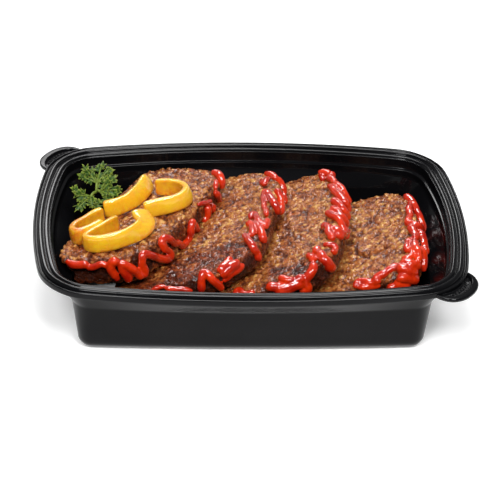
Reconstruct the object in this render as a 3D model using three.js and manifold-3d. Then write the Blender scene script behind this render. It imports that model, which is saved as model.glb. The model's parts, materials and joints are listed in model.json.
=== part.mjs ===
// Meatloaf ready meal: four loaf slices, pepper strips and a parsley sprig in a shallow moulded tray.
// Millimetres, +Z up. Origin: centre of the tray's flat base. +X: along the tray, +Y: to its far side.
import * as THREE from 'three';
import { mergeVertices } from 'three/addons/utils/BufferGeometryUtils.js';
import Module from 'manifold-3d';

const wasm = await Module();
wasm.setup();

// ---------- driving dimensions ----------
const WALL = 0.8;                 // sheet thickness of the tray
const CLEAR = 0.4;                // gap kept between pieces that touch
const WALL_CLEAR = 1.2;           // gap kept between the slices and the tray's walls

// An outline is a rounded rectangle whose sides bow outwards.
const RIM = { halfX: 117.5, halfY: 79.2, radius: 20.4, bowX: 8.6, bowY: 9.5 };
const BODY_TOP = { halfX: 97.7, halfY: 62.9, radius: 9.5, bowX: 3.0, bowY: 4.5 };
const BASE = { halfX: 94.4, halfY: 59.6, radius: 7.2, bowX: 1.9, bowY: 1.9 };

const SKIRT_BOTTOM = 44.5;        // lowest edge of the rim's hanging lip
const FLANGE_TOP = 47.9;          // outer band of the rim
const BEAD_TOP = 48.7;            // raised inner band of the rim
const LEDGE = 41.0;               // small step below the rim, inside
const LEDGE_INSET = 10.8;         // the step's inner edge, from the rim's outer edge
const SHOULDER_TOP = 38.0;        // the wall sweeps inwards from here
const SHOULDER_BOTTOM = 31.0;     // and is a plain drafted wall from here down
const FILLET = 7.1;               // radius where the wall meets the base

const TAB_REACH = 11.4;           // how far a corner tab stands out past the rim's corner
const TAB_TOP = 46.8;
const TAB_THICK = 1.2;
const TAB_HALF_ANGLE = 42;        // degrees either side of the tab's middle
const TAB_MIDDLE = 141;           // degrees from +X, for the far left tab

// Slices: the crown is the highest point of the domed crust edge, on the upper cut face.
// yaw turns the slice in plan, lean tips its upper face, shear slides its foot along its length.
const SLICES = [
  { crown: [-35.5, 1, 47.0], yaw: 30, lean: 9, halfLength: 54, depth: 51, shear: 0.27, thick: [7, 17] },
  { crown: [9.6, 0.5, 47.0], yaw: 15, lean: 20, halfLength: 54.5, depth: 80, shear: 0.22, thick: [7, 13] },
  { crown: [49.5, 1.5, 45.5], yaw: 9, lean: 20, halfLength: 54.5, depth: 80, shear: 0.22, thick: [9, 14] },
  { crown: [92.5, 1.5, 41.5], yaw: 4, lean: 21, halfLength: 43.5, depth: 69, shear: 0.08, thick: [9, 15] },
];
const SLICE_ROUND = 3.5;          // radius of a slice's soft edges
const SLICE_SIDES = 48;
const DOME_POWER = 3.8;           // superellipse exponent of the crust side
const DOME_FAR_POWER = 3.0;       // and of its rounder far corner
const FOOT_POWER = 5.0;           // and of the flat bottom side

const STRIP_HEIGHT = 10.0;         // width of a pepper ring's wall
const STRIP_THICK = 4.2;
const STRIP_STEP = 2.6;           // distance between sections along a strip
// Stops along each strip on the first slice: place in plan, how far the wall leans inward in
// degrees, and how far it is lifted.
const STRIP_ROUTES = [
  [
    [-71, -6, 0, 0], [-78, -13.5, 0, 0], [-84, -19, 0, 0], [-87.5, -24, 0, 0], [-82, -27.5, 0, 0],
    [-73.5, -26.5, 0, 0], [-65, -23, 5, 0], [-58.5, -17.5, 25, 0], [-54.5, -10.5, 48, 0.5], [-57.5, -3.5, 55, 3],
  ],
  [
    [-79, 4, 0, 0], [-84, 1, 0, 0], [-90, -4.5, 0, 0], [-95, -9.5, 0, 0], [-96, -14, 0, 0],
    [-92, -17, 0, 0], [-85, -13.3, 0, 0], [-79, -8.5, 0, 0],
  ],
  [
    [-79, 10, 0, 0], [-72, 11.5, 5, 0], [-65.5, 15.5, 15, 0], [-60.5, 22.5, 25, 0], [-57, 30, 30, 0], [-55, 37, 25, 0],
  ],
  [
    [-57, 4, 0, 0], [-50, 6, 0, 0], [-42.5, 7.5, 4, 0], [-36.5, 10.5, 8, 0], [-33, 16.5, 12, 0],
    [-35, 22.5, 8, 0], [-41, 27.3, 0, 0], [-50.5, 29.5, 0, 0],
  ],
];

// Parsley: leaf heads and the stem crossing that joins them, as centre and half sizes.
const PARSLEY = [
  { at: [-84, 43, 50], size: [9.5, 9.5, 6] },
  { at: [-77.5, 23.5, 51], size: [8.5, 7.5, 5.5] },
  { at: [-91, 13, 50], size: [6.5, 9, 6] },
  { at: [-85, 27, 47.5], size: [7, 14, 3.5] },
];

const CORNER_STEPS = 5;
const SIDE_STEPS = { x: 8, y: 6 };
const DEG = Math.PI / 180;

// ---------- small helpers ----------
const material = (color, roughness, metalness = 0) =>
  new THREE.MeshStandardMaterial({ color, roughness, metalness });

const BLACK_PLASTIC = material(0x1c1c1e, 0.35);
const MEAT = material(0x8f5a35, 0.7);
const PEPPER = material(0xe0a91c, 0.3);
const LEAF = material(0x3c7a1e, 0.6);

const mix = (a, b, t) => a + (b - a) * t;
const smooth = (t) => t * t * (3 - 2 * t);
const signedPower = (value, power) => Math.sign(value) * Math.abs(value) ** power;

/** Outline values part way between two outlines. */
function blend(low, high, t) {
  const out = {};
  for (const key of Object.keys(low)) out[key] = mix(low[key], high[key], t);
  return out;
}

/** The same outline moved inwards by a distance. */
function inset(shape, distance) {
  return {
    ...shape,
    halfX: shape.halfX - distance,
    halfY: shape.halfY - distance,
    radius: shape.radius - distance,
  };
}

/** Points of a bowed rounded rectangle, anticlockwise, the same number for every outline. */
function outlinePoints({ halfX, halfY, radius, bowX, bowY }) {
  const boxX = halfX - bowX;
  const boxY = halfY - bowY;
  const r = Math.max(radius, 0.5);
  const flat = [];
  for (let corner = 0; corner < 4; corner += 1) {
    const right = corner === 0 || corner === 3;
    const far = corner < 2;
    const centre = [(right ? 1 : -1) * (boxX - r), (far ? 1 : -1) * (boxY - r)];
    for (let i = 0; i <= CORNER_STEPS; i += 1) {
      const angle = (corner + i / CORNER_STEPS) * Math.PI / 2;
      flat.push([centre[0] + r * Math.cos(angle), centre[1] + r * Math.sin(angle)]);
    }
    const last = flat[flat.length - 1];
    const steps = corner % 2 === 0 ? SIDE_STEPS.x : SIDE_STEPS.y;
    const next = corner % 2 === 0 ? [-last[0], last[1]] : [last[0], -last[1]];
    for (let i = 1; i < steps; i += 1) {
      flat.push([mix(last[0], next[0], i / steps), mix(last[1], next[1], i / steps)]);
    }
  }
  return flat.map(([x, y]) => [
    x + bowX * (x / boxX) * (1 - (y / boxY) ** 2),
    y + bowY * (y / boxY) * (1 - (x / boxX) ** 2),
  ]);
}

/** Closed solid lofted through rings of equal length, with a fan to a middle point at each end. */
function loft(rings, firstMiddle, lastMiddle) {
  const count = rings[0].length;
  const positions = rings.flat(2);
  const firstIndex = positions.length / 3;
  positions.push(...firstMiddle, ...lastMiddle);
  const triangles = [];
  for (let ring = 0; ring + 1 < rings.length; ring += 1) {
    for (let i = 0; i < count; i += 1) {
      const a = ring * count + i;
      const b = ring * count + (i + 1) % count;
      triangles.push(a, b, b + count, a, b + count, a + count);
    }
  }
  const lastRing = (rings.length - 1) * count;
  for (let i = 0; i < count; i += 1) {
    const next = (i + 1) % count;
    triangles.push(firstIndex, next, i);
    triangles.push(firstIndex + 1, lastRing + i, lastRing + next);
  }
  const geometry = new THREE.BufferGeometry();
  geometry.setAttribute('position', new THREE.Float32BufferAttribute(positions, 3));
  geometry.setIndex(triangles);
  return geometry;
}

/** A three.js geometry as a solid that can be joined or cut. */
function toSolid(geometry) {
  const bare = geometry.clone();
  bare.deleteAttribute('normal');
  bare.deleteAttribute('uv');
  const merged = mergeVertices(bare, 1e-4);
  return new wasm.Manifold(new wasm.Mesh({
    numProp: 3,
    vertProperties: new Float32Array(merged.attributes.position.array),
    triVerts: new Uint32Array(merged.index.array),
  }));
}

function toGeometry(solid) {
  const mesh = solid.getMesh();
  const geometry = new THREE.BufferGeometry();
  geometry.setAttribute('position', new THREE.BufferAttribute(new Float32Array(mesh.vertProperties), 3));
  geometry.setIndex(new THREE.BufferAttribute(new Uint32Array(mesh.triVerts), 1));
  return geometry;
}

// ---------- tray ----------
/** Outer outline of the tray's wall at a height below the shoulder. */
function bodyOutline(z) {
  return blend(BASE, BODY_TOP, (z - FILLET) / (SHOULDER_BOTTOM - FILLET));
}

/** Outer outline of the wall at any height below the ledge. */
function wallOutline(z) {
  if (z <= SHOULDER_BOTTOM) return bodyOutline(z);
  const ledge = inset(RIM, LEDGE_INSET - WALL);
  return blend(BODY_TOP, ledge, smooth(Math.min(1, (z - SHOULDER_BOTTOM) / (SHOULDER_TOP - SHOULDER_BOTTOM))));
}

/** Rings from the base's edge up to the ledge; depthIn is how far inside the outer face they lie. */
function wallRings(depthIn) {
  const steps = [];
  for (let i = 0; i <= 3; i += 1) {
    const angle = (i / 3) * Math.PI / 2;
    const radius = FILLET - depthIn;
    const shape = inset(bodyOutline(FILLET), depthIn + radius * (1 - Math.sin(angle)));
    steps.push([shape, FILLET - radius * Math.cos(angle)]);
  }
  steps.push([inset(bodyOutline(SHOULDER_BOTTOM), depthIn), SHOULDER_BOTTOM]);
  for (const share of [0.3, 0.5, 0.7, 1]) {
    const z = mix(SHOULDER_BOTTOM, SHOULDER_TOP, share);
    steps.push([inset(wallOutline(z), depthIn), z]);
  }
  return steps;
}

/** The rim's section, from the ledge outside, under the lip, over the top and down to the ledge inside. */
function rimRings() {
  const upper = [
    [LEDGE_INSET, LEDGE], [9.2, LEDGE + 0.4], [8.9, 46.2], [8.3, 47.9], [7.6, BEAD_TOP - 0.2],
    [4.5, BEAD_TOP], [3.6, 48.5], [3.1, FLANGE_TOP], [0.5, FLANGE_TOP], [0, FLANGE_TOP - 0.5],
    [0, SKIRT_BOTTOM],
  ];
  const under = [
    [WALL, SKIRT_BOTTOM], [WALL, FLANGE_TOP - WALL - 0.2], [3.4, FLANGE_TOP - WALL], [4.0, 47.7],
    [7.0, BEAD_TOP - WALL - 0.2], [7.6, 46.9], [8.1, 46.0], [8.4, LEDGE - 0.4],
    [LEDGE_INSET - WALL, LEDGE - WALL],
  ];
  return [...upper, ...under].reverse().map(([distance, z]) => [inset(RIM, distance), z]);
}

function trayShell() {
  const sections = [...wallRings(0), ...rimRings(), ...wallRings(WALL).reverse()];
  const rings = sections.map(([shape, z]) => outlinePoints(shape).map(([x, y]) => [x, y, z]));
  return loft(rings, [0, 0, 0], [0, 0, WALL]);
}

/** A rounded tab that swells out of the rim's corner; turn is 0 or half a turn. */
function cornerTab(turn) {
  const centreX = RIM.halfX - RIM.bowX - RIM.radius;
  const centreY = RIM.halfY - RIM.bowY - RIM.radius;
  const shape = new THREE.Shape();
  const steps = 14;
  for (let i = 0; i <= steps; i += 1) {
    const share = 2 * i / steps - 1;
    const angle = (TAB_MIDDLE - share * TAB_HALF_ANGLE) * DEG;
    const reach = RIM.radius - WALL / 2 + TAB_REACH * (1 - Math.abs(share) ** 3);
    const x = -centreX + reach * Math.cos(angle);
    const y = centreY + reach * Math.sin(angle);
    if (i === 0) shape.moveTo(x, y);
    else shape.lineTo(x, y);
  }
  shape.closePath();
  const plate = new THREE.ExtrudeGeometry(shape, { depth: TAB_THICK, bevelEnabled: false });
  plate.translate(0, 0, TAB_TOP - TAB_THICK);
  plate.rotateZ(turn);
  // The plate's straight back would cut across the rim, so only what lies outside it is kept.
  const rimColumn = inset(RIM, WALL / 2);
  const ring = outlinePoints(rimColumn);
  const low = ring.map(([x, y]) => [x, y, 0]);
  const high = ring.map(([x, y]) => [x, y, BEAD_TOP + 10]);
  const column = loft([low, high], [0, 0, 0], [0, 0, BEAD_TOP + 10]);
  return toSolid(plate).subtract(toSolid(column));
}

function trayGeometry() {
  const solid = toSolid(trayShell()).add(cornerTab(0)).add(cornerTab(Math.PI));
  return toGeometry(solid);
}

// ---------- slices ----------
/** Places an object in a slice's frame: +X to the crust, +Y along the slice, +Z out of its upper face. */
function placeOnSlice(object, { crown, yaw, lean }) {
  object.position.set(...crown);
  object.rotation.set(0, -lean * DEG, -yaw * DEG, 'ZYX');
  object.updateMatrixWorld(true);
  return object;
}

/** Height of a slice's upper face at a point in plan. */
function faceHeight({ crown, yaw, lean }, x, y) {
  const run = (x - crown[0]) * Math.cos(yaw * DEG) - (y - crown[1]) * Math.sin(yaw * DEG);
  return crown[2] + run * Math.tan(lean * DEG);
}

/** Keeps a point inside the tray's inner face. */
function keepInTray(point) {
  const shape = inset(wallOutline(point.z), WALL + WALL_CLEAR);
  const boxX = shape.halfX - shape.bowX;
  const boxY = shape.halfY - shape.bowY;
  const limitY = boxY + shape.bowY * Math.max(0, 1 - (point.x / boxX) ** 2);
  const limitX = boxX + shape.bowX * Math.max(0, 1 - (point.y / boxY) ** 2);
  point.x = Math.max(-limitX, Math.min(limitX, point.x));
  point.y = Math.max(-limitY, Math.min(limitY, point.y));
  const r = shape.radius;
  const overX = Math.abs(point.x) - (boxX - r);
  const overY = Math.abs(point.y) - (boxY - r);
  const reach = Math.hypot(overX, overY);
  if (overX > 0 && overY > 0 && reach > r) {
    point.x = Math.sign(point.x) * (boxX - r + overX * r / reach);
    point.y = Math.sign(point.y) * (boxY - r + overY * r / reach);
  }
  point.z = Math.max(point.z, WALL + CLEAR);
  return point;
}

/** Edge of a loaf slice seen square on: domed at x = 0, flat at x = -depth. */
function sliceOutline({ halfLength, depth, shear }, seed) {
  const points = [];
  for (let i = 0; i < SLICE_SIDES; i += 1) {
    const angle = (i / SLICE_SIDES) * 2 * Math.PI;
    const dome = Math.sin(angle) > 0 ? DOME_FAR_POWER : DOME_POWER;
    const power = 2 / (Math.cos(angle) > 0 ? dome : FOOT_POWER);
    const wave = 1 + 0.012 * Math.sin(3 * angle + seed) + 0.008 * Math.sin(7 * angle + 2.3 * seed);
    const x = depth / 2 * signedPower(Math.cos(angle), power) * wave;
    const y = halfLength * signedPower(Math.sin(angle), power) * wave;
    points.push([x - depth / 2, y + shear * x]);
  }
  return points;
}

function sliceGeometry(slice, below, seed) {
  const frame = placeOnSlice(new THREE.Object3D(), slice);
  const upright = new THREE.Vector3(0, 0, 1).applyQuaternion(frame.quaternion);
  const outline = sliceOutline(slice, seed);
  const middle = [-slice.depth / 2, 0];
  const shrink = ([x, y], distance) => {
    const length = Math.hypot(x - middle[0], y - middle[1]);
    const share = 1 - distance / length;
    return [mix(middle[0], x, share), mix(middle[1], y, share)];
  };
  /** Thickness at a point, so that the slice lies on the one below it or on the floor. */
  const thickness = (x, y) => {
    const world = new THREE.Vector3(x, y, 0).applyMatrix4(frame.matrixWorld);
    const rest = below ? faceHeight(below, world.x, world.y) + CLEAR : WALL + CLEAR;
    const drop = (world.z - rest) * upright.z;
    return Math.max(slice.thick[0], Math.min(slice.thick[1], drop - CLEAR));
  };
  const place = (x, y, depthShare, roundOff) => {
    const down = mix(roundOff, thickness(x, y) - roundOff, depthShare);
    const point = new THREE.Vector3(x, y, -down).applyMatrix4(frame.matrixWorld);
    keepInTray(point);
    return frame.worldToLocal(point).toArray();
  };
  const ringAt = (distance, depthShare, roundOff) =>
    outline.map((p) => place(...shrink(p, distance), depthShare, roundOff));
  const r = SLICE_ROUND;
  const rings = [
    ringAt(3 * r, 1, 0), ringAt(r, 1, 0), ringAt(0.3 * r, 1, 0.3 * r), ringAt(0, 1, r), ringAt(0, 0.6, r),
    ringAt(0, 0.3, r), ringAt(0, 0, r), ringAt(0.3 * r, 0, 0.3 * r), ringAt(r, 0, 0), ringAt(3 * r, 0, 0),
  ];
  return loft(rings, place(...middle, 1, 0), place(...middle, 0, 0));
}

// ---------- toppings ----------
/** A bent band of pepper, standing on its edge on a slice or leaning inward. */
function stripGeometry(route, slice) {
  const frame = placeOnSlice(new THREE.Object3D(), slice);
  const h = STRIP_HEIGHT / 2;
  const t = STRIP_THICK / 2;
  const stops = route.map(([x, y, lean, lift]) => {
    const local = frame.worldToLocal(new THREE.Vector3(x, y, faceHeight(slice, x, y)));
    const rise = h * Math.cos(lean * DEG) + t * Math.sin(lean * DEG);
    return new THREE.Vector3(local.x, local.y, CLEAR + rise + lift);
  });
  const path = new THREE.CatmullRomCurve3(stops);
  const leans = new THREE.CatmullRomCurve3(route.map(([, , lean]) => new THREE.Vector3(lean * DEG, 0, 0)));
  const cut = 1.1;
  const section = [
    [t - cut, -h], [-t + cut, -h], [-t, -h + cut], [-t, h - cut],
    [-t + cut, h], [t - cut, h], [t, h - cut], [t, -h + cut],
  ];
  const steps = Math.round(path.getLength() / STRIP_STEP);
  const rings = [];
  const middles = [];
  for (let i = 0; i <= steps; i += 1) {
    const middle = path.getPoint(i / steps);
    const ahead = path.getTangent(i / steps);
    const lean = leans.getPoint(i / steps).x;
    const outward = new THREE.Vector3(ahead.y, -ahead.x, 0).normalize();
    const above = new THREE.Vector3(0, 0, 1);
    const up = above.clone().multiplyScalar(Math.cos(lean)).addScaledVector(outward, -Math.sin(lean));
    const side = outward.clone().multiplyScalar(Math.cos(lean)).addScaledVector(above, Math.sin(lean));
    middles.push(middle.toArray());
    rings.push(section.map(([across, along]) =>
      middle.clone().addScaledVector(side, across).addScaledVector(up, along).toArray()));
  }
  return loft(rings, middles[0], middles[steps]);
}

function parsleyGeometry() {
  const heads = PARSLEY.map(({ at, size }) => {
    const ball = new THREE.SphereGeometry(1, 12, 8);
    ball.scale(...size);
    ball.translate(...at);
    return toSolid(ball);
  });
  return toGeometry(heads.reduce((whole, head) => whole.add(head)));
}

// ---------- the object ----------
const meal = new THREE.Group();

function addPiece(name, geometry, surface) {
  const mesh = new THREE.Mesh(geometry, surface);
  mesh.name = name;
  meal.add(mesh);
  return mesh;
}

addPiece('tray', trayGeometry(), BLACK_PLASTIC);

SLICES.forEach((slice, index) => {
  const geometry = sliceGeometry(slice, SLICES[index + 1], index + 1);
  placeOnSlice(addPiece(`slice_${index + 1}`, geometry, MEAT), slice);
});

STRIP_ROUTES.forEach((route, index) => {
  const strip = addPiece(`pepper_strip_${index + 1}`, stripGeometry(route, SLICES[0]), PEPPER);
  placeOnSlice(strip, SLICES[0]);
});

addPiece('parsley_sprig', parsleyGeometry(), LEAF);

export default meal;
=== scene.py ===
"""A packed meatloaf meal: a moulded tray, four leaning loaf slices, sauce, pepper strips and parsley.

The sizes are in millimetres until a mesh is made, and metres after that.
"""

import json
import math

import bmesh
import bpy
import numpy as np
from bpy.props import FloatProperty, FloatVectorProperty, IntProperty, PointerProperty
from mathutils import Matrix, Vector, noise
from mathutils.bvhtree import BVHTree
from mathutils.kdtree import KDTree

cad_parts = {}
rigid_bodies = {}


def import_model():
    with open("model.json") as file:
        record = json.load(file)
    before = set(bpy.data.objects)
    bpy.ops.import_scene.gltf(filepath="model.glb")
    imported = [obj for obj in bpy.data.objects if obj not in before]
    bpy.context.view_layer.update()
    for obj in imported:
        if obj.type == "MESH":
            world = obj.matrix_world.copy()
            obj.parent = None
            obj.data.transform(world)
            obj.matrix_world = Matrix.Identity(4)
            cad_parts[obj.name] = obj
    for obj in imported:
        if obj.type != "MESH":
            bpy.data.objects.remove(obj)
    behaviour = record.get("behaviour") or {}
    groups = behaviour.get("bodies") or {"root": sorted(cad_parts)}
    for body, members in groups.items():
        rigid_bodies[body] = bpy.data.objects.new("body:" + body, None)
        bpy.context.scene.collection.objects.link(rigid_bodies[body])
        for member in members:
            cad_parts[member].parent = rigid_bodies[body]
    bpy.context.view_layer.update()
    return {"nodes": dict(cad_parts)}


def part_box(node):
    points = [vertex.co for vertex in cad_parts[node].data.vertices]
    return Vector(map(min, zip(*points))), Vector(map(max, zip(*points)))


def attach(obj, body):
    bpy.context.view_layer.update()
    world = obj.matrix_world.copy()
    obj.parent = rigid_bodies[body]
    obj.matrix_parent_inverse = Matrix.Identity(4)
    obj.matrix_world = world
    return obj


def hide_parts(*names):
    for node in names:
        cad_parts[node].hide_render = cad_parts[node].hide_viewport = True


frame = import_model()

bl_info = {
    "name": "Packed meatloaf meal",
    "version": (1, 0, 0),
    "blender": (4, 5, 0),
    "location": "3D View > Sidebar > Meal",
    "description": "Makes the looks of a packed meatloaf meal around its solid model",
    "category": "Object",
}

MM = 0.001

# ---------- the tray's named sizes ----------
TRAY_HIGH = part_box("tray")[1]
RIM = {"half_x": TRAY_HIGH.x / MM, "half_y": TRAY_HIGH.y / MM, "radius": 20.4, "bow_x": 8.6, "bow_y": 9.5}
BODY_TOP = {"half_x": 97.7, "half_y": 62.9, "radius": 9.5, "bow_x": 3.0, "bow_y": 4.5}
BASE = {"half_x": 94.4, "half_y": 59.6, "radius": 7.2, "bow_x": 1.9, "bow_y": 1.9}
BEAD_TOP = TRAY_HIGH.z / MM
SKIRT_BOTTOM = BEAD_TOP - 4.2
LEDGE = 41.0
LEDGE_INSET = 10.8
SHOULDER_TOP = 38.0
SHOULDER_BOTTOM = 28.0
FILLET = 7.1
TAB_REACH = 11.4
TAB_TOP = 46.8
TAB_HALF_ANGLE = 42.0
TAB_MIDDLE = 141.0
TAB_RIBS = 9
# Steps round each of the tray's outlines: at a corner, along a long side and along a short side.
CORNER_STEPS, LONG_STEPS, SHORT_STEPS = 14, 40, 26

# ---------- the slices' frames ----------
# crown is the highest point of the crust edge, yaw turns the slice in plan and lean tips its face.
SLICES = {
    "slice_1": {"crown": (-35.5, 1, 47.0), "yaw": 30, "lean": 9, "half": 54, "depth": 51, "shear": 0.27},
    "slice_2": {"crown": (9.6, 0.5, 47.0), "yaw": 15, "lean": 20, "half": 54.5, "depth": 80, "shear": 0.22},
    "slice_3": {"crown": (49.5, 1.5, 45.5), "yaw": 9, "lean": 20, "half": 54.5, "depth": 80, "shear": 0.22},
    "slice_4": {"crown": (92.5, 1.5, 41.5), "yaw": 4, "lean": 21, "half": 43.5, "depth": 69, "shear": 0.08},
}
# Below this place along each slice the meat is dark with juice and sauce; on the first slice this darkening
# is also painted shade.
JUICE_AND_SHADE = {"slice_1": -30, "slice_2": -6, "slice_3": -22, "slice_4": -80}
FLAP = {"centre": (-26, -7), "radius": 9.5, "faces": -125, "half_angle": 110, "lift": 2.6}
# How square a slice's outline is at its crust, at the crust's far half and at its foot.
DOME_POWER, DOME_FAR_POWER, FOOT_POWER = 3.8, 3.0, 5.0
TRACK_STEPS = 900
# Sizes of the features in the meat's surface, and how far the browned edge reaches in over the face.
LUMP_SIZE, FOLD_SIZE, CLOT_SIZE, CLUMP_SIZE, CRUMB_SIZE, FINE_SIZE = 13.0, 4.2, 2.1, 4.4, 1.9, 0.95
CRACK_SIZE, CRUST_WIDTH = 8.0, 5.0
# Painted shade: from this place on towards a slice's near end, its side is darker.
SHADED_SIDE_FROM = -26

# ---------- the pepper strips ----------
# The strips are browned to the left of this place.
STRIPS_BROWN = -84
# Each stop is a place in plan, then the wall's lean inward in degrees and its lift off the slice, where
# they aren't 0.
STRIP_ROUTES = {
    "pepper_strip_1": [
        (-71, -6), (-78, -13.5), (-84, -19), (-87.5, -24), (-82, -27.5), (-73.5, -26.5), (-65, -23, 8),
        (-58.5, -17, 32), (-56, -10, 62, 1.5), (-59, -3, 74, 5),
    ],
    "pepper_strip_2": [
        (-79, 4), (-84, 1), (-89, -4.5), (-93.5, -9.5), (-94.5, -14), (-91, -17), (-85, -13.3),
        (-79, -8.5),
    ],
    "pepper_strip_3": [
        (-79, 10), (-72, 11.5, 5), (-65.5, 15.5, 15), (-60.5, 22.5, 25), (-57, 30, 30), (-55, 37, 25),
    ],
    "pepper_strip_4": [
        (-57, 4), (-50, 6), (-42.5, 7.5, 4), (-36.5, 10.5, 8), (-33, 16.5, 12), (-35, 22.5, 8),
        (-41, 27.3), (-50.5, 29.5),
    ],
}

# ---------- the parsley ----------
# Each frond: where its side stems part, its tip, how many side stems, and their spread in degrees.
FRONDS = [
    ((-84, 33, 48.5), (-84, 46, 54), 6, 62),
    ((-82, 23, 49), (-71, 22, 53), 5, 58),
    ((-87, 19, 48.5), (-93, 8, 50.5), 5, 60),
]

# ---------- the sauce ----------
# Beads on each slice: radius, then stops measured along the crust's edge from its middle (far is
# positive) and across it (positive is onto the face, negative is down the side). A bead's middle lies a
# share of its radius above the meat, which is less for a thick bead.
SAUCE_RISE, THICK_BEAD, THICK_RISE = 0.5, 2.6, 0.2
SAUCE_STEP = 0.7
SAUCE_BEADS = {
    "slice_1": [
        (2.2, [(45, 4), (43, 1), (40, -2), (38, -6)]),
        (1.3, [(37, 1), (33, 0), (29, -2)]),
        (1.8, [(28, -3), (31, -7), (34, -11), (34, -14)]),
        (1.3, [(8, 0), (15, -3), (21, -5)]),
        (1.9, [(16, -4), (15, -9), (15, -14), (13, -19)]),
        (1.8, [(21, -7), (23, -13), (22, -18)]),
        (2.0, [(6, -19), (4, -15), (0, -9), (-2, -5), (-5, -8), (-5, -13), (-8, -16), (-13, -15), (-19, -10),
               (-24, -5), (-29, -1), (-32, -2), (-31, -6), (-27, -11), (-28, -14), (-31, -13), (-38, -8),
               (-43, -4), (-46, -2), (-48, -4), (-48, -8), (-47, -12), (-49, -15)]),
        (2.1, [(-49, -15), (-51, -12), (-54, -8), (-57, -4), (-59, -4), (-59, -7), (-57, -12), (-56, -15)]),
        (2.2, [(-60, -2), (-63, -2), (-65, -5), (-64, -8), (-62, -13)]),
        (1.7, [(-66, -5), (-70, -3), (-75, -5), (-78, -4)]),
        (2.1, [(-76, -3), (-80, -4), (-84, -4), (-88, -3)]),
    ],
    "slice_2": [
        (1.9, [(48, 3), (44, 1), (40, 0), (37, -1)]),
        (2.3, [(38, -1), (38, -4), (36, -7), (34, -10)]),
        (1.7, [(34, -9), (31, -12), (28, -14)]),
        (1.4, [(41, 8), (36, 9), (32, 8), (36, 6), (40, 4)]),
        (1.5, [(22, 7), (18, 8), (9, 6), (-1, 3), (-7, 1)]),
        (2.0, [(20, 6), (15, 4), (10, 2), (6, -2), (6, -7)]),
        (2.2, [(21, 2), (18, -2), (16, -5), (12, -7), (8, -8)]),
        (1.8, [(-8, 10), (-3, 10), (-7, 7), (-13, 4), (-17, 0), (-13, -1), (-9, 0)]),
        (2.1, [(-12, 10), (-16, 8), (-20, 6), (-27, 4)]),
        (2.0, [(-15, 5), (-20, 2), (-25, -1), (-27, -5)]),
        (2.0, [(-26, 10), (-30, 6), (-36, 1), (-37, -4), (-37, -9)]),
        (1.7, [(-51, 5), (-54, 4), (-58, 2), (-63, 0)]),
        (2.6, [(-50, 0), (-54, -1), (-58, -2), (-62, -4)]),
        (1.7, [(-48, -4), (-52, -5), (-57, -5), (-62, -7)]),
        (2.0, [(-75, -9), (-73, -3), (-71, 2), (-69, 2), (-67, -3), (-65, -8), (-64, -12)]),
        (1.3, [(-79, -7), (-84, -4), (-89, -3), (-93, -1)]),
        (1.2, [(-92, 1), (-96, 1), (-100, 0)]),
    ],
    "slice_3": [
        (2.3, [(53, 2), (49, 1), (45, 0), (42, 1)]),
        (1.6, [(51, 4), (46, 6), (43, 8)]),
        (2.1, [(42, 5), (36, 4), (29, 3), (22, 0), (20, -4), (20, -9)]),
        (2.2, [(30, 7), (24, 5), (18, 3), (12, 0), (11, -4), (12, -9)]),
        (2.1, [(12, 6), (8, 3), (3, -1), (4, -5), (5, -9)]),
        (2.0, [(4, 6), (-1, 3), (-5, 0), (-5, -4), (-3, -9)]),
        (2.0, [(0, 9), (-3, 6), (-8, 2), (-12, -2), (-15, -5), (-19, -3), (-20, 0), (-18, 4)]),
        (1.8, [(-6, -9), (-11, -9), (-17, -7)]),
        (2.2, [(-12, 9), (-17, 6), (-23, 4), (-29, 2)]),
        (1.8, [(-15, 7), (-20, 3), (-23, -1), (-21, -5)]),
        (1.5, [(-34, 6), (-33, 2), (-33, -2), (-37, -3), (-38, 0)]),
        (2.6, [(-37, 9), (-42, 6), (-46, 1), (-46, -4), (-43, -9)]),
        (1.7, [(-45, 11), (-49, 8), (-51, 3)]),
        (2.3, [(-53, 4), (-55, 0), (-59, -2), (-62, -5), (-62, -9), (-63, -12)]),
        (2.4, [(-61, -2), (-66, -2), (-70, -2), (-75, -2), (-79, 0), (-83, 2)]),
        (2.0, [(-66, -2), (-70, 0), (-73, 3), (-74, 5)]),
        (3.0, [(-63, -5), (-69, -4), (-74, -4), (-79, -3)]),
        (1.6, [(-67, -8), (-64, -9), (-61, -11)]),
        (1.7, [(-100, 1), (-99, 5), (-97, 5), (-95, 1), (-92, 0), (-89, 1)]),
    ],
    "slice_4": [
        (2.4, [(33, 1), (29, -2), (24, -4), (19, -6), (14, -9), (10, -11)]),
        (1.9, [(24, 1), (19, 3), (15, 4), (11, 4), (7, 3)]),
        (2.1, [(23, 0), (18, -2), (13, -5), (9, -9), (4, -11)]),
        (2.2, [(8, 3), (4, 5), (0, 5), (-3, 2), (-2, -2), (0, -6)]),
        (2.2, [(-3, 4), (-8, 3), (-13, 2), (-17, 1)]),
        (2.6, [(-5, -2), (-8, -6), (-12, -9), (-17, -10)]),
        (1.8, [(-15, 4), (-19, 6), (-24, 6), (-28, 4)]),
        (2.2, [(-18, 3), (-24, 1), (-29, -1), (-33, -3)]),
        (2.3, [(-22, -2), (-25, -5), (-27, -8), (-31, -11)]),
        (1.5, [(-24, 6), (-26, 3), (-31, 2), (-34, 3), (-35, 6)]),
        (2.6, [(-40, 5), (-38, 1), (-36, -3), (-33, -6)]),
        (2.8, [(-45, 4), (-43, 0), (-41, -4), (-37, -8)]),
        (2.8, [(-48, -2), (-45, -4), (-42, -7), (-38, -11)]),
        (2.6, [(-51, -4), (-48, -7), (-44, -10)]),
        (2.4, [(-55, -5), (-51, -8), (-47, -11)]),
        (1.9, [(-42, 5), (-47, 5), (-52, 4), (-56, 3), (-59, 2), (-58, -1)]),
        (1.9, [(-57, 0), (-61, 0), (-64, 2), (-68, 4), (-70, 3), (-72, 1)]),
        (1.6, [(-58, -3), (-62, -2), (-66, -1), (-70, 0)]),
    ],
}

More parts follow.
